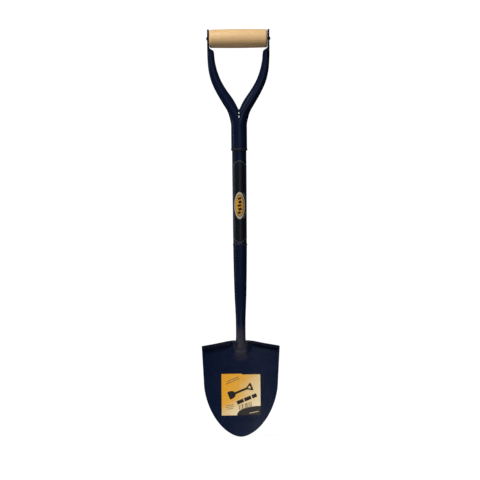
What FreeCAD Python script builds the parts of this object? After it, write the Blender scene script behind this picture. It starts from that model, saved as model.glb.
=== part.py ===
import FreeCAD, Part
import math
import os

# Round point shovel, all steel, with a split-tube Y handle and a wooden grip.
# Heights are measured up the shaft's axis from the tip of the blade, in millimetres.
# The front, where the blade is hollow, faces -Y. When a piece is written out it is lowered by
# grip_height, so that the origin is where the shaft's axis crosses the grip's rivet.

Vec = FreeCAD.Vector

# overall
grip_height = 951.0

# blade
sheet = 1.8
lift_deg = 18.0
side_top_half_width = 93.2
side_low_half_width = 88.5
side_top_height = 212.0
point_height = 130.0
point_exponent = 1.78
dish_depth = 17.0
dish_exponent = 2.3
toe_start = 150.0
toe_rise = 9.0

# treads: the top edge of the sheet, turned forward
tread_depth = 12.0
tread_neck_depth = 1.6
tread_crest_height = 227.5
tread_crest_x = 26.0
tread_side_fall = 0.257
tread_rise = 0.249
tread_dip = 0.010
tread_bend = 3.2
tread_corner = 6.0
tread_flat_skim = 0.08
tread_mid_x = 60.0
tread_mid_height = 220.0
neck_fade_start = 34.0
neck_fade_run = 20.0
notch_share = 0.45

# frog: the ridge that carries the socket into the sheet
frog_height = 7.4
frog_nose = 183.0
frog_full = 201.0
frog_top_half = 11.5
frog_base_half = 27.0
frog_nose_top_half = 4.0
frog_nose_base_half = 14.0
frog_spread_top = 206.0

# socket: height, full width, full depth down the tapered tube
socket_stations = [
    (457.0, 33.2, 33.2),
    (400.0, 31.6, 31.6),
    (340.0, 28.8, 28.8),
    (300.0, 25.4, 25.4),
    (275.0, 23.4, 23.2),
    (242.0, 23.0, 22.0),
    (224.0, 24.8, 19.8),
    (205.5, 28.0, 18.0),
]
socket_wall = 1.8
bend_top = 320.0
bend_bottom = 225.0

# shaft
shaft_top = 742.0
shaft_top_radius = 17.45
shaft_rim_radius = 16.3
shaft_wall = 1.6
spigot_end = 404.0

# yoke
stem_bottom = 686.0
stem_radius = 19.05
yoke_wall = 1.55
stem_top = 744.5
slit_half = 0.9
slit_bottom = 761.0
crotch_tacks = ((768.4, 16.6, 1.9), (778.0, 10.5, 3.4))
plate_outer = 74.8
plate_inner = 70.2
plate_half_depth = 15.0
plate_top = 973.5
plate_press_start = 920.5
plate_press_run = 14.0

# grip and rivet
grip_half_length = 69.9
grip_mid_radius = 22.75
grip_end_radius = 21.9
grip_corner = 5.0
rivet_hole_gap = 0.05
rivet_radius = 3.0
rivet_running_gap = 0.08
rivet_head_radius = 4.6
rivet_head_height = 2.4

# weld beads
yoke_weld_proud = 2.6
socket_weld_proud = 1.0
front_bead_radius = 1.8
rear_bead_radius = 2.4

# stickers
sticker = 0.2
decal_bottom = 459.5
decal_top = 660.0
decal_end = 22.0
badge_height = 550.5
badge_half_length = 32.5
badge_half_width = 12.6
label_height = 99.5
label_width = 92.7
label_length = 98.0
label_turn_deg = -0.3


def smooth(t):
    """0 below t = 0, 1 above t = 1, and an even S between them."""
    t = min(max(t, 0.0), 1.0)
    return t * t * (3.0 - 2.0 * t)


def mix(a, b, t):
    return a + (b - a) * t


def steady(stations, height, column):
    """Value of one column of a list of stations at a height, smooth and with no overshoot."""
    rows = sorted(stations)
    heights = [row[0] for row in rows]
    values = [row[column] for row in rows]
    rises = [(b - a) / (t - s) for a, b, s, t in zip(values, values[1:], heights, heights[1:])]
    slopes = [rises[0]]
    for before, after in zip(rises, rises[1:]):
        same_way = before * after > 0.0
        slopes.append(2.0 * before * after / (before + after) if same_way else 0.0)
    slopes.append(rises[-1])
    i = 0
    while i < len(rises) - 1 and height > heights[i + 1]:
        i += 1
    span = heights[i + 1] - heights[i]
    t = (height - heights[i]) / span
    turn = t * (1.0 - t) * span
    ends = mix(values[i], values[i + 1], smooth(t))
    return ends + turn * ((1.0 - t) * slopes[i] - t * slopes[i + 1])


def levels(low, high, count):
    """Evenly spaced heights from low to high."""
    return [mix(low, high, i / float(count)) for i in range(count + 1)]


# ---------------------------------------------------------------- the neck's line


def bend_radius():
    return (bend_top - bend_bottom) / math.sin(math.radians(lift_deg))


def lean(height):
    """Angle between the socket's line and the shaft's axis at a height, in radians."""
    if height >= bend_top:
        return 0.0
    if height <= bend_bottom:
        return math.radians(lift_deg)
    return math.asin((bend_top - height) / bend_radius())


def line_y(height):
    """How far forward (-Y) the line of the socket and of the sheet has come at a height."""
    if height >= bend_bottom:
        return -bend_radius() * (1.0 - math.cos(lean(height)))
    bent = -bend_radius() * (1.0 - math.cos(math.radians(lift_deg)))
    return bent - (bend_bottom - height) * math.tan(math.radians(lift_deg))


# ---------------------------------------------------------------- blade


def frog(x, height):
    """Height of the frog's ridge above the dished sheet."""
    along = smooth((height - frog_nose) / (frog_full - frog_nose))
    spread = min(max((height - frog_nose) / (frog_spread_top - frog_nose), 0.0), 1.0)
    top_half = mix(frog_nose_top_half, frog_top_half, spread)
    base_half = mix(frog_nose_base_half, frog_base_half, spread)
    return frog_height * along * (1.0 - smooth((abs(x) - top_half) / (base_half - top_half)))


def plain_y(x, height):
    """Front face of the dished sheet without its frog."""
    dish = dish_depth * (abs(x) / side_top_half_width) ** dish_exponent
    toe = toe_rise * (max(toe_start - height, 0.0) / toe_start) ** 2
    return line_y(height) - sheet / 2.0 - dish - toe


def front_y(x, height):
    return plain_y(x, height) - frog(x, height)


def tread_top(x, y):
    """Height of the tread's upper face, which is flat outside its crest and dips to the neck."""
    lip_at_crest = line_y(tread_crest_height) - sheet / 2.0 - tread_depth
    side = tread_side_fall * (abs(x) - tread_crest_x)
    dip = tread_dip * max(tread_crest_x - abs(x), 0.0) ** 2
    if abs(x) < tread_crest_x:
        side = side * smooth(abs(x) / tread_crest_x)
    return tread_crest_height - side - dip - tread_rise * (y - lip_at_crest)


def tread_under(x, y):
    slope = math.sqrt(1.0 + tread_side_fall**2 + tread_rise**2)
    return tread_top(x, y) - sheet * slope


def sheet_section(x, rows_flat=5, rows_bend=6, rows_down=26, lowest=-14.0):
    """Front face of the sheet cut at one x: tread's lip, underside, bend, and down past the tip."""
    height = tread_crest_height - 10.0
    for _ in range(20):
        height = tread_under(x, front_y(x, height))
    y = front_y(x, height)
    down = Vec(0.0, front_y(x, height - 10.0) - y, -10.0).normalize()
    forward = Vec(0.0, -1.0, tread_rise).normalize()
    half_angle = down.getAngle(forward) / 2.0
    corner = Vec(x, y, height)
    run = tread_bend / math.tan(half_angle)
    middle = corner + (down + forward).normalize() * (tread_bend / math.sin(half_angle))
    bend_start = corner + forward * run
    bend_end = corner + down * run
    full_lip = plain_y(x, height) - tread_depth
    neck_lip = bend_start.y - tread_neck_depth
    lip_y = mix(full_lip, neck_lip, smooth((neck_fade_start - abs(x)) / neck_fade_run))
    points = []
    for i in range(rows_flat):
        y = mix(lip_y, bend_start.y, i / float(rows_flat))
        points.append(Vec(x, y, bend_start.z + (bend_start.y - y) * tread_rise))
    start = bend_start - middle
    end = bend_end - middle
    sweep = start.getAngle(end)
    for i in range(rows_bend):
        t = i / float(rows_bend)
        blend = start * (math.sin((1.0 - t) * sweep)) + end * math.sin(t * sweep)
        points.append(middle + blend * (1.0 / math.sin(sweep)))
    for i in range(rows_down + 1):
        t = (i / float(rows_down)) ** 1.3
        height = mix(bend_end.z, lowest, t)
        points.append(Vec(x, front_y(x, height), height))
    return points


def sheet_columns():
    """Values of x where the sheet is shaped, closer together over the frog."""
    near = [3.0 * i for i in range(10)]
    far = [30.0 + 7.0 * i for i in range(11)]
    right = near + far
    return [-x for x in reversed(right[1:])] + right


def offset_grid(grid, distance):
    """The grid moved along its own normals, away from the hollow side."""
    rows = len(grid)
    columns = len(grid[0])
    moved = []
    for i in range(rows):
        line = []
        for j in range(columns):
            across = grid[min(i + 1, rows - 1)][j] - grid[max(i - 1, 0)][j]
            along = grid[i][min(j + 1, columns - 1)] - grid[i][max(j - 1, 0)]
            normal = across.cross(along).normalize()
            line.append(grid[i][j] + normal * distance)
        moved.append(line)
    return moved


def skin(grid):
    surface = Part.BSplineSurface()
    surface.interpolate(grid)
    return surface


def edge_between(surface, u, v, along_u):
    curve = surface.vIso(v) if along_u else surface.uIso(u)
    return curve.toShape()


def slab(grid, low, high):
    """Closed solid between the grid moved by low and the grid moved by high."""
    lower = skin(offset_grid(grid, low))
    upper = skin(offset_grid(grid, high))
    faces = [lower.toShape(), upper.toShape()]
    u0, u1, v0, v1 = lower.bounds()
    a0, a1, b0, b1 = upper.bounds()
    pairs = [
        (edge_between(lower, u0, 0, False), edge_between(upper, a0, 0, False)),
        (edge_between(lower, u1, 0, False), edge_between(upper, a1, 0, False)),
        (edge_between(lower, 0, v0, True), edge_between(upper, 0, b0, True)),
        (edge_between(lower, 0, v1, True), edge_between(upper, 0, b1, True)),
    ]
    faces += [Part.makeRuledSurface(a, b) for a, b in pairs]
    sewn = Part.makeShell(faces)
    sewn.sewShape()
    shell = sewn if sewn.ShapeType == "Shell" else sewn.Shells[0]
    solid = Part.makeSolid(shell)
    if solid.Volume < 0:
        solid.reverse()
    return solid


def blade_half_width(height):
    if height >= point_height:
        t = (height - point_height) / (side_top_height - point_height)
        return mix(side_low_half_width, side_top_half_width, t)
    t = (point_height - height) / point_height
    return side_low_half_width * (1.0 - t**point_exponent) ** (1.0 / point_exponent)


def blade_outline():
    """Outline of the blade seen from the front, as a prism along Y."""
    steps = 26
    right = []
    for i in range(steps + 1):
        angle = math.pi / 2.0 * i / steps
        x = side_low_half_width * math.sin(angle) ** (2.0 / point_exponent)
        height = point_height * (1.0 - abs(math.cos(angle)) ** (2.0 / point_exponent))
        right.append(Vec(x, -200.0, height))
    left = [Vec(-p.x, p.y, p.z) for p in reversed(right[1:])]
    point = Part.BSplineCurve()
    point.interpolate(left + right)
    top = 260.0
    wide = blade_half_width(top)
    corners = [right[-1], Vec(wide, -200.0, top), Vec(-wide, -200.0, top), left[0]]
    sides = [Part.makeLine(a, b) for a, b in zip(corners, corners[1:])]
    outline = Part.Wire(Part.__sortEdges__([point.toShape()] + sides))
    return Part.Face(outline).extrude(Vec(0.0, 300.0, 0.0))


def tread_normal(side):
    return Vec(side * tread_side_fall, tread_rise, 1.0).normalize()


def tread_flat_cutter(side):
    """Half-space just over the tread's upper face on one side, to make that face truly flat."""
    y = plain_y(tread_mid_x, tread_mid_height) - tread_depth / 2.0
    on_face = Vec(side * tread_mid_x, y, tread_top(tread_mid_x, y))
    normal = tread_normal(side)
    base = on_face - normal * tread_flat_skim
    plane = Part.Plane(base, normal)
    face = plane.toShape(-60.0, 60.0, -60.0, 60.0)
    return face.extrude(normal * 20.0)


def tread_corner_cutter(side):
    """What a rounded outer corner of a tread loses, seen from above."""
    height = side_top_height
    outer = blade_half_width(height)
    front = plain_y(outer, height) - tread_depth
    block = Part.makeBox(tread_corner + 4.0, tread_corner + 4.0, 60.0)
    block.translate(Vec(-4.0 if side < 0 else -tread_corner, -4.0, height - 30.0))
    block.translate(Vec(side * outer, front, 0.0))
    centre = Vec(side * (outer - tread_corner), front + tread_corner, height - 30.0)
    return block.cut(Part.makeCylinder(tread_corner, 60.0, centre))


def neck_notch():
    """What the tread loses in front of the socket, as wide as the socket at each height."""
    heights = (socket_stations[-1][0] + 3.0, 225.0, 245.0)
    right = [Vec(notch_share * steady(socket_stations, h, 1), -80.0, h) for h in heights]
    left = [Vec(-p.x, p.y, p.z) for p in reversed(right)]
    face = Part.Face(Part.makePolygon(right + left + [right[0]]))
    return face.extrude(Vec(0.0, 80.0 + line_y(heights[0]), 0.0))


def make_blade(socket_body):
    grid = [sheet_section(x) for x in sheet_columns()]
    body = slab(grid, 0.0, sheet).common(blade_outline()).cut(neck_notch())
    for side in (-1, 1):
        body = body.cut(tread_flat_cutter(side))
        body = body.cut(tread_corner_cutter(side))
    return largest(body.cut(socket_body))


# ---------------------------------------------------------------- tubes


def ring(centre, across, deep, half_width, half_depth, exponent=2.0, count=24):
    """Closed smooth wire: an oval, squarer as its exponent grows."""
    points = []
    for i in range(count):
        angle = 2.0 * math.pi * i / count
        c = math.cos(angle)
        s = math.sin(angle)
        a = math.copysign(abs(c) ** (2.0 / exponent), c) * half_width
        b = math.copysign(abs(s) ** (2.0 / exponent), s) * half_depth
        points.append(centre + across * a + deep * b)
    curve = Part.BSplineCurve()
    curve.interpolate(Points=points, PeriodicFlag=True)
    return Part.Wire(curve.toShape())


def largest(shape):
    return max(shape.Solids, key=lambda s: s.Volume)


def socket_loft(inset, over_top=0.0, over_end=0.0):
    """The tapered and bent tube, inset from its outer face, run past its ends where asked."""
    rings = []
    heights = levels(socket_stations[0][0], socket_stations[-1][0], 22)
    for height in heights:
        angle = lean(height)
        front = Vec(0.0, -math.cos(angle), math.sin(angle))
        centre = Vec(0.0, line_y(height), height)
        if height == heights[0]:
            centre = centre + Vec(0.0, 0.0, over_top)
        if height == heights[-1]:
            centre = centre + Vec(0.0, -math.sin(angle), -math.cos(angle)) * over_end
        half_width = steady(socket_stations, height, 1) / 2.0 - inset
        half_depth = steady(socket_stations, height, 2) / 2.0 - inset
        rings.append(ring(centre, Vec(1, 0, 0), front, half_width, half_depth))
    return Part.makeLoft(rings, True, False, False, 3)


def cone(radius_low, radius_high, low, high):
    return Part.makeCone(radius_low, radius_high, high - low, Vec(0, 0, low))


def shaft_radius(height):
    t = (height - socket_stations[0][0]) / (shaft_top - socket_stations[0][0])
    return mix(shaft_rim_radius, shaft_top_radius, t)


def spigot_radius(height):
    """The socket's own inner taper, less a fitting gap, inside its top."""
    top, rim_width, _ = socket_stations[0]
    low, low_width, _ = socket_stations[1]
    t = (height - low) / (top - low)
    return mix(low_width, rim_width, t) / 2.0 - socket_wall - 0.12


def make_shaft():
    rim = socket_stations[0][0]
    body = cone(shaft_rim_radius, shaft_top_radius, rim, shaft_top)
    spigot = cone(spigot_radius(spigot_end), spigot_radius(rim), spigot_end, rim)
    bore = cone(shaft_rim_radius - shaft_wall, shaft_top_radius - shaft_wall, rim + 6.0, shaft_top + 1.0)
    throat = spigot_radius(spigot_end) - shaft_wall
    bore = bore.fuse(cone(throat, shaft_rim_radius - shaft_wall, rim - 8.0, rim + 6.0))
    throat_run = rim - 8.0 - spigot_end + 1.0
    bore = bore.fuse(Part.makeCylinder(throat, throat_run, Vec(0, 0, spigot_end - 1.0)))
    return body.fuse(spigot).cut(bore).removeSplitter()


def make_socket():
    return largest(socket_loft(0.0).cut(socket_loft(socket_wall, 1.0, 1.0)))


# ---------------------------------------------------------------- yoke

# one half of the tube as it opens into an arm: height, outer and inner distance from the
# axis, where the half is deepest, half depth, squareness of the inner side
arm_stations = [
    (738.0, 18.45, -18.45, 0.0, 18.45, 2.0),
    (744.0, 19.05, -18.0, 0.0, 18.9, 2.0),
    (752.0, 20.2, -13.0, 0.6, 18.9, 2.2),
    (760.0, 22.2, -8.0, 3.0, 18.3, 2.7),
    (768.0, 24.4, -5.0, 6.5, 17.5, 3.0),
    (776.0, 27.2, -1.5, 10.5, 16.9, 2.9),
    (786.0, 32.7, 3.2, 17.0, 16.0, 2.6),
    (794.0, 37.6, 6.9, 22.0, 15.2, 2.3),
    (803.0, 43.0, 11.9, 27.4, 14.2, 2.1),
    (814.0, 49.4, 19.2, 34.3, 13.2, 2.0),
    (826.0, 55.8, 27.7, 41.8, 12.2, 2.0),
    (852.0, 66.8, 42.8, 54.8, 11.0, 2.0),
    (880.0, 72.7, 52.6, 62.6, 10.6, 2.0),
    (903.0, 74.4, 57.1, 65.7, 10.4, 2.0),
    (918.0, 74.8, 58.3, 66.6, 10.6, 2.1),
    (922.5, 74.8, 60.2, 67.5, 11.4, 2.3),
    (926.0, 74.8, 65.6, 70.2, 13.0, 2.8),
    (928.6, 74.8, 68.6, 71.7, 14.2, 3.4),
    (932.0, 74.8, 70.1, 72.4, 14.9, 4.2),
    (935.0, 74.8, 70.2, 72.5, 15.0, 4.5),
]
arm_spread_height = 786.0
arm_hollow_top = 918.5
plate_squareness = arm_stations[-1][-1]


def arm_ring(height, wall):
    """Section of the right arm: an oval whose inner side can be squarer than its outer side."""
    outer, inner, crown, half_depth, square = [steady(arm_stations, height, i) for i in range(1, 6)]
    outside = mix(2.0, plate_squareness, smooth((height - plate_press_start) / plate_press_run))
    points = []
    count = 28
    for i in range(count):
        angle = 2.0 * math.pi * i / count
        c = math.cos(angle)
        s = math.sin(angle)
        reach = outer - wall - crown if c > 0.0 else crown - inner - wall
        power = 2.0 / (outside if c > 0.0 else square)
        x = crown + reach * math.copysign(abs(c) ** power, c)
        y = (half_depth - wall) * math.copysign(abs(s) ** power, s)
        points.append(Vec(x, y, height))
    curve = Part.BSplineCurve()
    curve.interpolate(Points=points, PeriodicFlag=True)
    return Part.Wire(curve.toShape())


def arm_loft(wall=0.0):
    """Right arm as a solid from close rings, or the hollow inside it."""
    heights = levels(arm_stations[0][0], arm_spread_height, 13)
    heights += levels(arm_spread_height, arm_hollow_top, 20)[1:]
    if wall == 0.0:
        heights += levels(arm_hollow_top, arm_stations[-1][0], 9)[1:]
    return Part.makeLoft([arm_ring(height, wall) for height in heights], True, True)


def arm_plate():
    """Flattened tip of the right arm, above the pressed step."""
    height = arm_stations[-1][0]
    return Part.Face(arm_ring(height, 0.0)).extrude(Vec(0, 0, plate_top + 1.0 - height))


def tip_end_cutter():
    """What the flattened tip of the right arm loses when its end is rounded off."""
    top = plate_top - plate_half_depth
    low = plate_inner - 3.0
    block = Part.makeBox(14.0, 40.0, 30.0, Vec(low, -20.0, top))
    return block.cut(Part.makeCylinder(plate_half_depth, 14.0, Vec(low, 0, top), Vec(1, 0, 0)))


def upright(radius, low, high):
    return Part.makeCylinder(radius, high - low, Vec(0, 0, low))


def make_yoke():
    """Stem and two arms out of one tube, slit down the middle and spread."""
    low = arm_stations[0][0] - 5.0
    joined = Part.makeBox(100.0, 100.0, slit_bottom - low, Vec(0.0, -50.0, low))
    parted = Part.makeBox(100.0, 100.0, 300.0, Vec(slit_half, -50.0, slit_bottom))
    right = arm_loft().fuse(arm_plate()).common(joined.fuse(parted))
    hole = Part.makeCylinder(rivet_radius + rivet_hole_gap, 100.0, Vec(0, 0, grip_height), Vec(1, 0, 0))
    right = right.cut(arm_loft(yoke_wall)).cut(tip_end_cutter()).cut(hole)
    left = right.mirror(Vec(0, 0, 0), Vec(1, 0, 0))
    body = upright(stem_radius, stem_bottom, stem_top).fuse(right).fuse(left)
    return largest(body.cut(upright(stem_radius - yoke_wall, stem_bottom - 1.0, stem_top)))


# ---------------------------------------------------------------- grip and rivet


def make_grip():
    """Turned bar: a slight barrel with rounded ends and a bore for the rivet."""
    end = grip_half_length
    near = end - grip_corner
    shoulder = grip_end_radius
    quarter = grip_corner * (1.0 - math.sqrt(0.5))
    bore = rivet_radius + rivet_running_gap
    barrel = Part.Arc(Vec(-near, 0, shoulder), Vec(0, 0, grip_mid_radius), Vec(near, 0, shoulder))
    edges = [barrel.toShape()]
    for side in (-1, 1):
        start = Vec(side * near, 0, shoulder)
        middle = Vec(side * (end - quarter), 0, shoulder - quarter)
        finish = Vec(side * end, 0, shoulder - grip_corner)
        edges.append(Part.Arc(start, middle, finish).toShape())
        edges.append(Part.makeLine(finish, Vec(side * end, 0, bore)))
    edges.append(Part.makeLine(Vec(-end, 0, bore), Vec(end, 0, bore)))
    wire = Part.Wire(Part.__sortEdges__(edges))
    body = Part.Face(wire).revolve(Vec(0, 0, 0), Vec(1, 0, 0), 360.0)
    body.translate(Vec(0, 0, grip_height))
    return body


def make_rivet():
    """Plain shank with a domed head on the outside of each arm tip."""
    body = Part.makeCylinder(rivet_radius, 2.0 * plate_outer, Vec(-plate_outer, 0, 0), Vec(1, 0, 0))
    rise = rivet_head_height
    ball = (rivet_head_radius**2 + rise**2) / (2.0 * rise)
    for side in (-1, 1):
        dome = Part.makeSphere(ball, Vec(side * (plate_outer + rise - ball), 0, 0))
        keep = Part.makeBox(rise, 20.0, 20.0, Vec(0, -10.0, -10.0))
        keep.translate(Vec(plate_outer if side > 0 else -plate_outer - rise, 0, 0))
        body = body.fuse(dome.common(keep))
    body = body.removeSplitter()
    body.translate(Vec(0, 0, grip_height))
    return body


# ---------------------------------------------------------------- welds


def bead_ring(radius, low, high, proud):
    """Turned weld bead round a tube: a rounded lump between two heights."""
    inner = radius - 0.2
    middle = (low + high) / 2.0
    arc = Part.Arc(Vec(radius, 0, low), Vec(radius + proud, 0, middle), Vec(radius, 0, high))
    back = [Vec(radius, 0, high), Vec(inner, 0, high), Vec(inner, 0, low), Vec(radius, 0, low)]
    lines = [Part.makeLine(a, b) for a, b in zip(back, back[1:])]
    wire = Part.Wire(Part.__sortEdges__([arc.toShape()] + lines))
    return Part.Face(wire).revolve(Vec(0, 0, 0), Vec(0, 0, 1), 360.0)


def make_yoke_weld(yoke, shaft):
    bead = bead_ring(shaft_radius(stem_bottom), stem_bottom - 4.0, stem_bottom + 3.0, yoke_weld_proud)
    return largest(bead.cut(yoke).cut(shaft))


def make_socket_weld(socket, shaft):
    rim = socket_stations[0][0]
    bead = bead_ring(shaft_rim_radius, rim - 1.5, rim + 2.5, socket_weld_proud)
    return largest(bead.cut(socket).cut(shaft))


def bead_along(points, radius):
    """Weld bead that follows a smooth line of points."""
    curve = Part.BSplineCurve()
    curve.interpolate(points)
    rings = []
    count = 2 * len(points)
    for i in range(count + 1):
        u = mix(curve.FirstParameter, curve.LastParameter, i / float(count))
        at = curve.value(u)
        tangent = Vec(*curve.tangent(u)[0])
        side = tangent.cross(Vec(0.0, 1.0, 0.05)).normalize()
        rings.append(ring(at, side, tangent.cross(side), radius, radius, 2.0, 10))
    return Part.makeLoft(rings, True, True)


def seam_point(side, height, face):
    """Where the sheet meets the side of the socket: face 1 in front, -1 behind."""
    x = steady(socket_stations, height, 1) / 2.0 + (0.6 if face < 0 else -0.4)
    behind = sheet / math.cos(math.radians(lift_deg)) + 1.4
    y = front_y(x, height) + (behind if face < 0 else -0.3)
    return Vec(side * x, y, height)


def make_blade_weld_front(blade, socket):
    end = socket_stations[-1][0] + socket_stations[-1][2] / 2.0 * math.tan(math.radians(lift_deg))
    left = [seam_point(-1, h, 1) for h in (219.0, 213.0)]
    low = end - 0.6
    across = [Vec(x, front_y(x, low) + 0.2, low) for x in (-11.5, -6.0, 0.0, 6.0, 11.5)]
    right = [seam_point(1, h, 1) for h in (213.0, 219.0)]
    bead = bead_along(left + across + right, front_bead_radius)
    return largest(bead.cut(blade).cut(socket))


def make_blade_welds_rear(blade, socket):
    beads = []
    for side in (-1, 1):
        points = [seam_point(side, h, -1) for h in (221.0, 215.0, 209.0, 204.0)]
        beads.append(largest(bead_along(points, rear_bead_radius).cut(blade).cut(socket)))
    return Part.makeCompound(beads)


def make_socket_seam(socket):
    """Welded seam down the back of the rolled socket, a little proud of it."""
    rings = []
    for height in levels(socket_stations[0][0] - 3.0, socket_stations[-1][0] + 6.0, 22):
        angle = lean(height)
        back = Vec(0.0, math.cos(angle), -math.sin(angle))
        half_depth = steady(socket_stations, height, 2) / 2.0
        centre = Vec(0.0, line_y(height), height) + back * (half_depth - 0.3)
        rings.append(ring(centre, Vec(1, 0, 0), back, 1.6, 0.85, 2.0, 10))
    return largest(Part.makeLoft(rings, True, False, False, 3).cut(socket))


def make_crotch_welds(yoke):
    """Tacks that bridge the slit, front and back, and leave it open between them."""
    tacks = []
    for face in (-1, 1):
        for height, deep, radius in crotch_tacks:
            centre = Vec(0.0, face * deep, height)
            ball = Part.makeSphere(radius, centre)
            ball.rotate(centre, Vec(0.0, 0.0, 1.0), 90.0)
            tacks.append(largest(ball.cut(yoke)))
    return Part.makeCompound(tacks)


# ---------------------------------------------------------------- stickers


def capsule_prism(half_width, low, high, half_end):
    """Upright outline with elliptical ends, as a prism in front of the shaft."""
    points = []
    for i in range(13):
        angle = math.pi * i / 12.0
        points.append(Vec(half_width * math.cos(angle), -40.0, high - half_end * (1.0 - math.sin(angle))))
    top = Part.BSplineCurve()
    top.interpolate(points)
    flipped = [Vec(-p.x, p.y, low + high - p.z) for p in points]
    bottom = Part.BSplineCurve()
    bottom.interpolate(flipped)
    sides = [
        Part.makeLine(points[-1], flipped[0]),
        Part.makeLine(flipped[-1], points[0]),
    ]
    wire = Part.Wire(Part.__sortEdges__([top.toShape(), bottom.toShape()] + sides))
    return Part.Face(wire).extrude(Vec(0, 40.0, 0))


def shaft_layer(low, high, inner, outer):
    """Thin sleeve on the shaft, from inner to outer above its face."""
    skinny = cone(shaft_radius(low) + inner, shaft_radius(high) + inner, low, high)
    full = cone(shaft_radius(low) + outer, shaft_radius(high) + outer, low, high)
    return full.cut(skinny)


def make_decal():
    layer = shaft_layer(decal_bottom, decal_top, 0.0, sticker)
    prism = capsule_prism(shaft_top_radius + 1.0, decal_bottom, decal_top, decal_end)
    return largest(layer.common(prism))


def make_badge():
    low = badge_height - badge_half_length
    high = badge_height + badge_half_length
    layer = shaft_layer(low, high, sticker, 2.0 * sticker)
    oval = ring(Vec(0, -40.0, badge_height), Vec(1, 0, 0), Vec(0, 0, 1), badge_half_width, badge_half_length)
    return largest(layer.common(Part.Face(oval).extrude(Vec(0, 40.0, 0))))


def make_label():
    """Paper label on the blade's front, its top edge notched."""
    columns = [-50.0 + 5.0 * i for i in range(21)]
    rows = [label_height + 56.0 - 5.6 * i for i in range(21)]
    grid = [[Vec(x, front_y(x, h), h) for h in rows] for x in columns]
    layer = slab(grid, -0.03, -0.03 - sticker)
    half = label_width / 2.0
    low = -label_length / 2.0
    high = label_length / 2.0
    outline = [(-half, low), (half, low), (half, high - 2.0), (4.0, high - 2.0), (1.0, high), (-half, high)]
    corners = [Vec(x, 0.0, z) for x, z in outline]
    face = Part.Face(Part.makePolygon(corners + [corners[0]]))
    face.rotate(Vec(0, 0, 0), Vec(0, 1, 0), label_turn_deg)
    face.translate(Vec(0.0, -200.0, label_height))
    return largest(layer.common(face.extrude(Vec(0, 300.0, 0))))


# ---------------------------------------------------------------- all pieces


def build():
    socket = make_socket()
    blade = make_blade(socket_loft(0.0))
    shaft = make_shaft()
    yoke = make_yoke()
    return {
        "blade": blade,
        "socket": socket,
        "shaft_tube": shaft,
        "yoke": yoke,
        "grip": make_grip(),
        "grip_rivet": make_rivet(),
        "yoke_weld": make_yoke_weld(yoke, shaft),
        "crotch_welds": make_crotch_welds(yoke),
        "socket_weld": make_socket_weld(socket, shaft),
        "socket_seam": make_socket_seam(socket),
        "blade_weld_front": make_blade_weld_front(blade, socket),
        "blade_welds_rear": make_blade_welds_rear(blade, socket),
        "shaft_decal": make_decal(),
        "shaft_badge": make_badge(),
        "blade_label": make_label(),
    }


os.makedirs("parts", exist_ok=True)
for name, shape in build().items():
    shape.translate(Vec(0.0, 0.0, -grip_height))
    shape.exportStep("parts/" + name + ".step")
    print(name, len(shape.Solids), "solids", shape.isValid(), round(shape.Volume, 1))
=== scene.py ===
import math

import bpy
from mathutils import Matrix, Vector


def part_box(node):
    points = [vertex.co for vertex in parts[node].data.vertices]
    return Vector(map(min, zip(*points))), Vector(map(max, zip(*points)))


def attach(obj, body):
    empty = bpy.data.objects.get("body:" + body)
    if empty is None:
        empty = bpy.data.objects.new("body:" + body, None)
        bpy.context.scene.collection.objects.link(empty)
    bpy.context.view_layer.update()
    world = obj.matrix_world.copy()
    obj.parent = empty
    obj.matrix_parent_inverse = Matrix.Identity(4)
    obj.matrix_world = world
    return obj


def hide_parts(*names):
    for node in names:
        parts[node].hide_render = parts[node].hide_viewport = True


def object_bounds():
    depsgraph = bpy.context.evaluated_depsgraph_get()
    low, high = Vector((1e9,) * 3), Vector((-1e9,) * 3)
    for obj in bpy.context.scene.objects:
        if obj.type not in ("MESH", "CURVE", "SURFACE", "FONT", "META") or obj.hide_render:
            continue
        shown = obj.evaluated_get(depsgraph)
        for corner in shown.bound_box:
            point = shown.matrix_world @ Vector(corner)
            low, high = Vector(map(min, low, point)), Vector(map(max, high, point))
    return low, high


# A round point shovel of enamelled steel with a turned beech grip. Lengths are in metres; +Z runs
# up the shaft to the grip, which crosses the origin, and the hollow of the blade faces -Y.

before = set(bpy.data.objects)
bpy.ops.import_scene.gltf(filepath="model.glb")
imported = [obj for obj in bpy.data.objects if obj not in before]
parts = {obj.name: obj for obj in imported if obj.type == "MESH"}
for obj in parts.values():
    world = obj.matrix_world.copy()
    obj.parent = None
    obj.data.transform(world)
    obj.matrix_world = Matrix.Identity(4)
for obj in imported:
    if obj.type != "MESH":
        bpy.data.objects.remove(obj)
cad_low, cad_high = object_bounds()
mm = 0.001

no_depth = 1000.0  # divides the depth away where an oval is measured in x and z alone

decal_low, decal_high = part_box("shaft_decal")
badge_low, badge_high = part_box("shaft_badge")
label_low, label_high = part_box("blade_label")
blade_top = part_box("blade")[1].z
badge_z = (badge_low.z + badge_high.z) / 2.0
label_x = (label_low.x + label_high.x) / 2.0
label_z = (label_low.z + label_high.z) / 2.0


# ------------------------------------------------------------------ finishes


def linear(code):
    """Linear colour from an sRGB hex value."""
    channels = [int(code[i : i + 2], 16) / 255.0 for i in (1, 3, 5)]
    bent = [c / 12.92 if c <= 0.04045 else ((c + 0.055) / 1.055) ** 2.4 for c in channels]
    return (*bent, 1.0)


def feed(node, inputs):
    """Fills inputs, named or numbered among the live ones, from values, outputs or whole nodes."""
    live = [socket for socket in node.inputs if socket.enabled]
    for key, value in inputs.items():
        socket = live[key] if isinstance(key, int) else next(s for s in live if s.name == key)
        if isinstance(value, bpy.types.Node):
            value = next(s for s in value.outputs if s.enabled)
        if isinstance(value, bpy.types.NodeSocket):
            node.id_data.links.new(value, socket)
        else:
            socket.default_value = value


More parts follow.
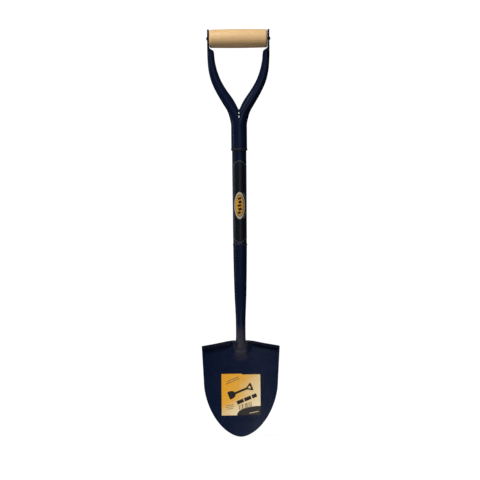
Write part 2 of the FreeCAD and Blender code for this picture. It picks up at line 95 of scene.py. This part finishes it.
def add(material, kind, inputs=None, stops=(), **settings):
    """Adds a node with its settings, its inputs and, on a colour ramp, its stops."""
    node = material.node_tree.nodes.new("ShaderNode" + kind)
    for key, value in settings.items():
        setattr(node, key, value)
    for i, (position, value) in enumerate(stops):
        elements = node.color_ramp.elements
        stop = elements[i] if i < len(elements) else elements.new(position)
        stop.position = position
        stop.color = value if isinstance(value, tuple) else (value, value, value, 1.0)
    feed(node, inputs or {})
    return node


def finish(name):
    """A new material, its main shader, and the place of each point on the object."""
    material = bpy.data.materials.new(name)
    material.use_nodes = True
    return material, material.node_tree.nodes["Principled BSDF"], add(material, "TexCoord").outputs["Object"]


# Dipped enamel on steel: deep navy with a soft gloss, flowed out but not flat, greyer in a mottled
# patch on the socket just above the blade and on the frog below it, and worn to grey primer along the treads.
def navy_enamel(name, grey_patch=None, scuff=None):
    paint, shader, where = finish(name)
    place = add(paint, "SeparateXYZ", {0: where}).outputs
    cloud = add(paint, "TexNoise", {"Vector": where, "Scale": 1 / (45 * mm), "Detail": 3.0})
    colour = add(paint, "Mix", {0: cloud, 1: linear("#081127"), 2: linear("#111c38")}, data_type="RGBA")
    runs = add(paint, "Mapping", {"Vector": where, "Scale": (1.0, 1.0, 0.12)})
    runs = add(paint, "TexNoise", {"Vector": runs, "Scale": 1 / (5 * mm), "Detail": 2.0})
    runs = add(paint, "ValToRGB", {0: runs}, stops=((0.45, 0.0), (0.8, 0.3)))
    colour = add(paint, "Mix", {0: runs, 1: colour, 2: linear("#1c2740")}, data_type="RGBA")
    # a greyer, mottled patch near x = 0, full on one side of a height and fading out over the given span
    if grey_patch:
        low, high, half_width = grey_patch
        up = add(paint, "MapRange", {0: place[2], 1: high, 2: low}, interpolation_type="SMOOTHSTEP")
        out = add(paint, "Math", {0: place[0]}, operation="ABSOLUTE")
        spread = {0: out, 1: half_width, 2: 0.3 * half_width}
        out = add(paint, "MapRange", spread, interpolation_type="SMOOTHSTEP")
        patch = add(paint, "Math", {0: up, 1: out}, operation="MULTIPLY")
        patch_mottle = add(paint, "TexNoise", {"Vector": where, "Scale": 1 / (6 * mm), "Detail": 5.0})
        patch_mottle = add(paint, "Math", {0: patch_mottle, 1: 1.2, 2: -0.05}, operation="MULTIPLY_ADD")
        patch = add(paint, "Math", {0: patch, 1: patch_mottle}, operation="MULTIPLY")
        colour = add(paint, "Mix", {0: patch, 1: colour, 2: linear("#48434a")}, data_type="RGBA")
    if scuff:
        low, high = scuff
        near = add(paint, "MapRange", {0: place[2], 1: low, 2: high}, interpolation_type="SMOOTHSTEP")
        chips = {"Vector": where, "Scale": 1 / (7 * mm), "Detail": 6.0, "Roughness": 0.65}
        worn = add(paint, "TexNoise", chips)
        worn = add(paint, "ValToRGB", {0: worn}, stops=((0.5, 0.0), (0.62, 0.6)))
        worn = add(paint, "Math", {0: near, 1: worn}, operation="MULTIPLY")
        colour = add(paint, "Mix", {0: worn, 1: colour, 2: linear("#5a5a5e")}, data_type="RGBA")
    gloss = add(paint, "TexNoise", {"Vector": where, "Scale": 1 / (20 * mm), "Detail": 5.0})
    gloss = add(paint, "ValToRGB", {0: gloss}, stops=((0.3, 0.26), (0.7, 0.36)))
    # orange peel about 1.5 mm across, drawn at 2.5 mm so that it shows
    peel = add(paint, "TexNoise", {"Vector": where, "Scale": 1 / (2.5 * mm), "Detail": 2.0})
    sag = add(paint, "TexNoise", {"Vector": where, "Scale": 1 / (14 * mm), "Detail": 2.0})
    height = add(paint, "Math", {0: sag, 1: 2.5, 2: peel}, operation="MULTIPLY_ADD")
    bump = add(paint, "Bump", {"Height": height, "Strength": 0.12, "Distance": 0.4 * mm})
    feed(shader, {"Base Color": colour, "Roughness": gloss, "Normal": bump, "Specular IOR Level": 0.11})
    return paint


# The same enamel over a hand-run arc weld: duller, and greyer in patches a few mm across.
def enamel_over_weld():
    paint, shader, where = finish("enamel_over_weld")
    tone = add(paint, "TexNoise", {"Vector": where, "Scale": 1 / (3 * mm), "Detail": 4.0})
    colour = add(paint, "Mix", {0: tone, 1: linear("#080d19"), 2: linear("#232734")}, data_type="RGBA")
    grit = add(paint, "TexNoise", {"Vector": where, "Scale": 1 / (1.2 * mm), "Detail": 3.0})
    bump = add(paint, "Bump", {"Height": grit, "Strength": 0.3, "Distance": 0.3 * mm})
    feed(shader, {"Base Color": colour, "Roughness": 0.48, "Normal": bump, "Specular IOR Level": 0.3})
    return paint


# Steamed beech, turned and sealed: pale straw with fine fibres and short dark rays, the growth
# rings about 3.4 mm apart and running the length of the bar.
def turned_beech():
    wood, shader, where = finish("turned_beech")
    place = add(wood, "SeparateXYZ", {0: where}).outputs
    long_way = add(wood, "Mapping", {"Vector": where, "Scale": (0.09, 1.0, 1.0)})
    wander = add(wood, "TexNoise", {"Vector": long_way, "Scale": 1 / (16 * mm), "Detail": 3.0})
    ring = add(wood, "Math", {0: wander, 1: 9 * mm, 2: place[2]}, operation="MULTIPLY_ADD")
    ring = add(wood, "Math", {0: place[1], 1: 0.35, 2: ring}, operation="MULTIPLY_ADD")
    ring = add(wood, "Math", {0: ring, 1: 1.7 * mm}, operation="PINGPONG")
    ring = add(wood, "Math", {0: ring, 1: 1.7 * mm}, operation="DIVIDE")
    rings = ((0.0, linear("#dcae77")), (0.55, linear("#ebc58e")), (1.0, linear("#f2d19f")))
    colour = add(wood, "ValToRGB", {0: ring}, stops=rings)
    fibre_way = add(wood, "Mapping", {"Vector": where, "Scale": (0.035, 1.0, 1.0)})
    fibres = {"Vector": fibre_way, "Scale": 1 / (0.8 * mm), "Detail": 3.0, "Roughness": 0.6}
    fibres = add(wood, "TexNoise", fibres)
    fibres = add(wood, "ValToRGB", {0: fibres}, stops=((0.42, 0.0), (0.75, 0.5)))
    colour = add(wood, "Mix", {0: fibres, 1: colour, 2: linear("#bd8d54")}, data_type="RGBA")
    ray_way = add(wood, "Mapping", {"Vector": where, "Scale": (0.25, 1.0, 1.0)})
    ray = add(wood, "TexNoise", {"Vector": ray_way, "Scale": 1 / (1.1 * mm), "Detail": 1.0})
    ray = add(wood, "ValToRGB", {0: ray}, stops=((0.66, 0.0), (0.72, 0.5)))
    colour = add(wood, "Mix", {0: ray, 1: colour, 2: linear("#9c6f43")}, data_type="RGBA")
    handled = add(wood, "TexNoise", {"Vector": where, "Scale": 1 / (40 * mm), "Detail": 2.0})
    handled = add(wood, "ValToRGB", {0: handled}, stops=((0.4, 0.0), (0.8, 0.3)))
    colour = add(wood, "Mix", {0: handled, 1: colour, 2: linear("#cfa26c")}, data_type="RGBA")
    bump = add(wood, "Bump", {"Height": fibres, "Strength": 0.25, "Distance": 0.15 * mm})
    feed(shader, {"Base Color": colour, "Roughness": 0.5, "Normal": bump, "Specular IOR Level": 0.35})
    return wood


# Cast vinyl wrapped round the shaft: satin black with a fine grain of trapped dust, a thin grey
# line inside its edge, and half an oval beside the badge.
def black_vinyl():
    vinyl, shader, where = finish("black_vinyl")
    place = add(vinyl, "SeparateXYZ", {0: where}).outputs
    end = 22 * mm
    half_length = (decal_high.z - decal_low.z) / 2.0
    past = add(vinyl, "Math", {0: place[2], 1: (decal_high.z + decal_low.z) / 2.0}, operation="SUBTRACT")
    past = add(vinyl, "Math", {0: past}, operation="ABSOLUTE")
    past = add(vinyl, "MapRange", {0: past, 1: half_length - end, 2: half_length})
    across = add(vinyl, "Math", {0: place[0], 1: decal_high.x}, operation="DIVIDE")
    edge = add(vinyl, "CombineXYZ", {0: across, 1: past})
    edge = add(vinyl, "VectorMath", {0: edge}, operation="LENGTH")
    outline = add(vinyl, "Math", {0: edge, 1: 0.88, 2: 0.035}, operation="COMPARE")
    outline = add(vinyl, "Math", {0: outline, 1: 0.45}, operation="MULTIPLY")
    oval = add(vinyl, "CombineXYZ", {0: place[0], 1: place[2]})
    oval = add(vinyl, "VectorMath", {0: oval, 1: (3.4 * mm, badge_z, 0.0)}, operation="SUBTRACT")
    oval = add(vinyl, "VectorMath", {0: oval, 1: (12.6 * mm, 33 * mm, 1.0)}, operation="DIVIDE")
    oval = add(vinyl, "VectorMath", {0: oval}, operation="LENGTH")
    arc = add(vinyl, "Math", {0: oval, 1: 1.0, 2: 0.045}, operation="COMPARE")
    right = add(vinyl, "Math", {0: place[0], 1: 9 * mm}, operation="GREATER_THAN")
    arc = add(vinyl, "Math", {0: arc, 1: right}, operation="MULTIPLY")
    line = add(vinyl, "Math", {0: outline, 1: arc}, operation="MAXIMUM")
    dust = add(vinyl, "TexNoise", {"Vector": where, "Scale": 1 / (9 * mm), "Detail": 5.0, "Roughness": 0.6})
    base = add(vinyl, "Mix", {0: dust, 1: linear("#070b14"), 2: linear("#101521")}, data_type="RGBA")
    colour = add(vinyl, "Mix", {0: line, 1: base, 2: linear("#74777e")}, data_type="RGBA")
    bump = add(vinyl, "Bump", {"Height": dust, "Strength": 0.08, "Distance": 0.2 * mm})
    feed(shader, {"Base Color": colour, "Roughness": 0.38, "Normal": bump, "Specular IOR Level": 0.3})
    return vinyl


# Metallised foil sticker: mottled amber inside a dark line and a pale rim.
def amber_foil():
    foil, shader, where = finish("amber_foil")
    half = (badge_high - badge_low) / 2.0
    oval = add(foil, "VectorMath", {0: where, 1: (0.0, 0.0, badge_z)}, operation="SUBTRACT")
    oval = add(foil, "VectorMath", {0: oval, 1: (half.x, no_depth, half.z)}, operation="DIVIDE")
    oval = add(foil, "VectorMath", {0: oval}, operation="LENGTH")
    mottle = add(foil, "TexNoise", {"Vector": where, "Scale": 1 / (5 * mm), "Detail": 4.0})
    amber = add(foil, "Mix", {0: mottle, 1: linear("#c98a14"), 2: linear("#f0b347")}, data_type="RGBA")
    line = add(foil, "Math", {0: oval, 1: 0.78, 2: 0.03}, operation="COMPARE")
    colour = add(foil, "Mix", {0: line, 1: amber, 2: linear("#2c2620")}, data_type="RGBA")
    rim = add(foil, "Math", {0: oval, 1: 0.81}, operation="GREATER_THAN")
    colour = add(foil, "Mix", {0: rim, 1: colour, 2: linear("#c4b496")}, data_type="RGBA")
    feed(shader, {"Base Color": colour, "Roughness": 0.35})
    return foil


# Coated paper: orange-yellow fading to cream on the right and at the foot, with a pale mottle painted
# on as highlights, and a plain dark curve across the lower right corner.
def coated_paper():
    paper, shader, where = finish("coated_paper")
    place = add(paper, "SeparateXYZ", {0: where}).outputs
    across = add(paper, "MapRange", {0: place[0], 1: label_low.x, 2: label_high.x})
    up = add(paper, "MapRange", {0: place[2], 1: label_low.z, 2: label_high.z})
    drift = add(paper, "TexNoise", {"Vector": where, "Scale": 1 / (24 * mm), "Detail": 3.0})
    fade = add(paper, "Math", {0: up, 1: -0.45, 2: across}, operation="MULTIPLY_ADD")
    fade = add(paper, "Math", {0: drift, 1: 0.35, 2: fade}, operation="MULTIPLY_ADD")
    foot = add(paper, "MapRange", {0: up, 1: 0.4, 2: 0.12, 3: 0.0, 4: 0.42})
    fade = add(paper, "Math", {0: fade, 1: foot}, operation="ADD")
    tints = ((0.0, "#f5ab10"), (0.34, "#f0b038"), (0.58, "#edc680"), (1.0, "#f6e0b4"))
    colour = add(paper, "ValToRGB", {0: fade}, stops=[(at, linear(tint)) for at, tint in tints])
    # pale mottle painted on as highlights on the paper
    painted_highlight_mottle = add(paper, "TexNoise", {"Vector": where, "Scale": 1 / (3 * mm), "Detail": 6.0, "Roughness": 0.7})
    painted_highlight_mottle = add(paper, "ValToRGB", {0: painted_highlight_mottle}, stops=((0.56, 0.0), (0.66, 0.4)))
    colour = add(paper, "Mix", {0: painted_highlight_mottle, 1: colour, 2: linear("#fbe8c4")}, data_type="RGBA")
    corner = (label_high.x, 0.0, label_low.z + 2 * mm)
    curve = add(paper, "VectorMath", {0: where, 1: corner}, operation="SUBTRACT")
    curve = add(paper, "VectorMath", {0: curve, 1: (56 * mm, no_depth, 20 * mm)}, operation="DIVIDE")
    curve = add(paper, "VectorMath", {0: curve}, operation="LENGTH")
    curve = add(paper, "Math", {0: curve, 1: 1.0}, operation="LESS_THAN")
    colour = add(paper, "Mix", {0: curve, 1: colour, 2: linear("#1f1815")}, data_type="RGBA")
    bump = add(paper, "Bump", {"Height": drift, "Strength": 0.2, "Distance": 0.5 * mm})
    feed(shader, {"Base Color": colour, "Roughness": 0.55, "Normal": bump, "Specular IOR Level": 0.3})
    return paper


# Screen-printed ink: flat colour, a little broken where it was rubbed.
def ink(name, code):
    film, shader, where = finish(name)
    worn = add(film, "TexNoise", {"Vector": where, "Scale": 1 / (1.5 * mm), "Detail": 4.0})
    worn = add(film, "ValToRGB", {0: worn}, stops=((0.3, 0.25), (0.45, 0.0)))
    colour = add(film, "Mix", {0: worn, 1: linear(code), 2: linear("#8a6a3a")}, data_type="RGBA")
    feed(shader, {"Base Color": colour, "Roughness": 0.55, "Specular IOR Level": 0.2})
    return film


def dress(material, *names):
    for name in names:
        parts[name].data.materials.clear()
        parts[name].data.materials.append(material)


dress(navy_enamel("navy_enamel"), "shaft_tube", "yoke", "grip_rivet")
# the same greyer mottled patch near the foot of the socket and over the top of the frog
socket_grey_patch = (blade_top + 6 * mm, blade_top + 44 * mm, 24 * mm)
dress(navy_enamel("navy_enamel_socket", grey_patch=socket_grey_patch), "socket")
frog_grey_patch = (blade_top - 28 * mm, blade_top - 54 * mm, 22 * mm)
tread_scuff = (blade_top - 16 * mm, blade_top - 2 * mm)
dress(navy_enamel("navy_enamel_blade", grey_patch=frog_grey_patch, scuff=tread_scuff), "blade")
dress(turned_beech(), "grip")
dress(black_vinyl(), "shaft_decal")
dress(amber_foil(), "shaft_badge")
dress(coated_paper(), "blade_label")


# ------------------------------------------------------------------ welds


def alone(piece=None):
    """Nothing selected, or one piece selected and active, in object mode."""
    if bpy.context.object and bpy.context.object.mode != "OBJECT":
        bpy.ops.object.mode_set(mode="OBJECT")
    bpy.ops.object.select_all(action="DESELECT")
    if piece:
        piece.select_set(True)
        bpy.context.view_layer.objects.active = piece


def weld_bead(node, material, lump=3.2 * mm, swell=0.9 * mm):
    """Hand-run bead: the plain bead of the same name, swollen into lumps a few mm apart."""
    piece = bpy.data.objects.new(node + "_bead", parts[node].data.copy())
    bpy.context.collection.objects.link(piece)
    alone(piece)
    bpy.ops.object.mode_set(mode="EDIT")
    bpy.ops.mesh.select_all(action="SELECT")
    bpy.ops.mesh.remove_doubles(threshold=0.001 * mm)
    bpy.ops.object.mode_set(mode="OBJECT")
    grain = piece.modifiers.new("grain", "REMESH")
    grain.mode = "VOXEL"
    grain.voxel_size = 0.5 * mm
    grain.use_smooth_shade = True
    bpy.ops.object.modifier_apply(modifier="grain")
    lumps = bpy.data.textures.new(node + "_lumps", "CLOUDS")
    lumps.noise_scale = lump
    lumps.noise_depth = 1
    push = piece.modifiers.new("push", "DISPLACE")
    push.texture = lumps
    push.texture_coords = "LOCAL"
    push.strength = swell
    push.mid_level = 0.4
    bpy.ops.object.modifier_apply(modifier="push")
    piece.data.materials.clear()
    piece.data.materials.append(material)
    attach(piece, "frame")
    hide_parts(node)


beads = ("yoke_weld", "crotch_welds", "socket_weld", "socket_seam", "blade_weld_front", "blade_welds_rear")
bead_enamel = enamel_over_weld()
for node in beads:
    weld_bead(node, bead_enamel)


# ------------------------------------------------------------------ printing on the stickers

in_front = cad_low.y - 10 * mm
ink_thickness = 0.05 * mm


def settle(piece, x, z, lean):
    """Stands a flat piece upright, leans it anticlockwise and puts its place into its mesh."""
    alone(piece)
    bpy.ops.object.transform_apply(location=False, rotation=False, scale=True)
    piece.rotation_euler = (math.radians(90.0), 0.0, 0.0)
    bpy.ops.object.transform_apply(location=False, rotation=True, scale=False)
    piece.rotation_euler = (0.0, math.radians(-lean), 0.0)
    piece.location = (x, in_front, z)
    bpy.ops.object.transform_apply(location=True, rotation=True, scale=False)
    return piece


def bar(x, z, width, height, lean=0.0, cell=4 * mm):
    """Flat bar in front of a sticker, cut into small squares so that it can bend with it."""
    alone()
    cuts = [max(2, round(length / cell)) for length in (width, height)]
    bpy.ops.mesh.primitive_grid_add(x_subdivisions=cuts[0], y_subdivisions=cuts[1], size=1.0)
    piece = bpy.context.active_object
    piece.scale = (width, height, 1.0)
    return settle(piece, x, z, lean)


def round_end(x, z, width, height, lean):
    """Flat oval with its top cut off square, like a digging blade seen from the front."""
    alone()
    bpy.ops.mesh.primitive_circle_add(vertices=32, radius=0.5, fill_type="TRIFAN")
    piece = bpy.context.active_object
    bpy.ops.object.mode_set(mode="EDIT")
    bpy.ops.mesh.subdivide(number_cuts=2)
    bpy.ops.mesh.select_all(action="SELECT")
    bpy.ops.mesh.bisect(plane_co=(0.0, 0.18, 0.0), plane_no=(0.0, 1.0, 0.0), clear_outer=True)
    bpy.ops.object.mode_set(mode="OBJECT")
    piece.scale = (width, height, 1.0)
    return settle(piece, x, z, lean)


def printed(name, pieces, sticker, material):
    """Joins flat pieces and lays them on a sticker as one thin film of ink."""
    alone(pieces[0])
    for piece in pieces:
        piece.select_set(True)
    bpy.ops.object.join()
    film = bpy.context.active_object
    film.name = name
    film.data.name = name
    wrap = film.modifiers.new("wrap", "SHRINKWRAP")
    wrap.target = parts[sticker]
    wrap.wrap_method = "PROJECT"
    wrap.wrap_mode = "ABOVE_SURFACE"
    wrap.use_project_y = True
    wrap.use_positive_direction = True
    wrap.offset = 0.07 * mm
    bpy.ops.object.modifier_apply(modifier="wrap")
    wall = film.modifiers.new("wall", "SOLIDIFY")
    wall.thickness = ink_thickness
    wall.offset = -1.0
    bpy.ops.object.modifier_apply(modifier="wall")
    film.data.materials.clear()
    film.data.materials.append(material)
    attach(film, "frame")


slant = 22.0


def up_slant(x, z, run, aside=0.0):
    """Point on the label: run up the slant, and aside to its left, from a point given in mm."""
    turn = math.radians(slant)
    across = x + run * math.cos(turn) - aside * math.sin(turn)
    up = z + run * math.sin(turn) + aside * math.cos(turn)
    return label_x + across * mm, label_z + up * mm


# a plain picture of a shovel lying up the slant, over three plain blocks
picture = (-4.0, 7.0)
blocks = (14.0, -10.5)
drawing = [
    round_end(*up_slant(*picture, -23), 19 * mm, 26 * mm, slant + 90.0),
    bar(*up_slant(*picture, 4), 36 * mm, 5 * mm, slant),
    bar(*up_slant(*picture, 24, 3.5), 12 * mm, 3.4 * mm, slant + 32.0),
    bar(*up_slant(*picture, 24, -3.5), 12 * mm, 3.4 * mm, slant - 32.0),
    bar(*up_slant(*picture, 30.5), 4.6 * mm, 18 * mm, slant),
]
for run, length in ((-17, 17), (2, 17), (19, 12)):
    drawing.append(bar(*up_slant(*blocks, run), length * mm, 8.5 * mm, slant))
black_ink = ink("black_ink", "#17120f")
printed("label_drawing", drawing, "blade_label", black_ink)

# upright lines of uneven width, and short grey rules
small = []
for i, width in enumerate((1.6, 1.0, 2.2, 1.0, 1.6, 2.6, 1.0, 2.0, 1.2)):
    small.append(bar(label_x + (-4 + 3.6 * i) * mm, label_z + (-31 + 0.9 * i) * mm, width * mm, 13 * mm, 4.0))
for i, width in enumerate((18.0, 20.0, 15.0)):
    small.append(bar(label_x - 27 * mm, label_z + (-25 - 4.2 * i) * mm, width * mm, 1.2 * mm, 8.0))
for i, width in enumerate((30.0, 36.0)):
    small.append(bar(label_x - 20 * mm, label_z + (36 - 5 * i) * mm, width * mm, 1.5 * mm, slant))
printed("label_rules", small, "blade_label", ink("grey_ink", "#6f5f45"))
corner = [bar(label_x + 31 * mm, label_z - 42 * mm, 22 * mm, 1.8 * mm, 12.0)]
printed("label_corner_rule", corner, "blade_label", ink("pale_ink", "#c9b69a"))

# blocks of uneven size down the middle of the badge
marks = []
for i, (aside, width, height) in enumerate(((-1, 7, 5.5), (1, 8, 6), (-0.5, 9, 5), (1, 7, 6.5), (0, 8, 5))):
    block_z = badge_z + (-17 + 8.5 * i) * mm
    marks.append(bar(aside * mm, block_z, width * mm, height * mm, 14.0, 1.2 * mm))
printed("badge_blocks", marks, "shaft_badge", black_ink)


# ------------------------------------------------------------------ room


def aim(thing, at):
    thing.rotation_euler = (Vector(at) - thing.location).to_track_quat("-Z", "Y").to_euler()


def softbox(name, azimuth, elevation, distance, width, height, watts):
    """Soft light seen from the shovel at an azimuth from the front, to the right, and an elevation."""
    light = bpy.data.lights.new(name, "AREA")
    light.shape = "RECTANGLE"
    light.size = width
    light.size_y = height
    light.energy = watts
    lamp = bpy.data.objects.new(name, light)
    turn = math.radians(azimuth)
    rise = math.radians(elevation)
    middle = Vector((0.0, 0.0, -0.4))
    way = Vector((math.sin(turn) * math.cos(rise), -math.cos(turn) * math.cos(rise), math.sin(rise)))
    lamp.location = middle + way * distance
    aim(lamp, middle)
    bpy.context.collection.objects.link(lamp)


softbox("key_light", -32, 54, 2.6, 1.0, 1.0, 60)
softbox("strip_light", -96, 12, 2.2, 0.25, 1.4, 6)
softbox("fill_light", 10, 8, 3.4, 1.6, 0.8, 10)

# a white room that the camera sees bright and that lights the shovel only a little
world = bpy.data.worlds.new("studio")
bpy.context.scene.world = world
world.use_nodes = True
backdrop = world.node_tree.nodes["Background"]
rays = add(world, "LightPath").outputs["Is Camera Ray"]
glow = add(world, "MapRange", {0: rays, 3: 0.05, 4: 1.05})
feed(backdrop, {"Color": (1.0, 1.0, 1.0, 1.0), "Strength": glow})

bpy.ops.mesh.primitive_plane_add(size=0.8, location=(0.0, 0.0, cad_low.z - 1 * mm))
floor = bpy.context.active_object
floor.name = "floor"
floor_paint, floor_shader, _ = finish("matt_white_floor")
feed(floor_shader, {"Base Color": (0.12, 0.12, 0.12, 1.0), "Roughness": 0.9, "Specular IOR Level": 0.0})
feed(floor_shader, {"Emission Color": (1.0, 1.0, 1.0, 1.0), "Emission Strength": 0.97})
floor.data.materials.append(floor_paint)

view_distance = 12.0
view_turn = math.radians(0.7)
seen_width = 1.151
camera = bpy.data.objects.new("camera", bpy.data.cameras.new("camera"))
bpy.context.collection.objects.link(camera)
bpy.context.scene.camera = camera
camera.data.sensor_width = 36.0
camera.data.lens = 36.0 * view_distance / seen_width
centre = Vector((0.0, 0.0, -0.483))
camera.location = centre + Vector((math.sin(view_turn), -math.cos(view_turn), 0.0)) * view_distance
aim(camera, centre)
camera.rotation_euler.rotate_axis("Z", math.radians(-0.5))
bpy.context.scene.view_settings.view_transform = "Standard"
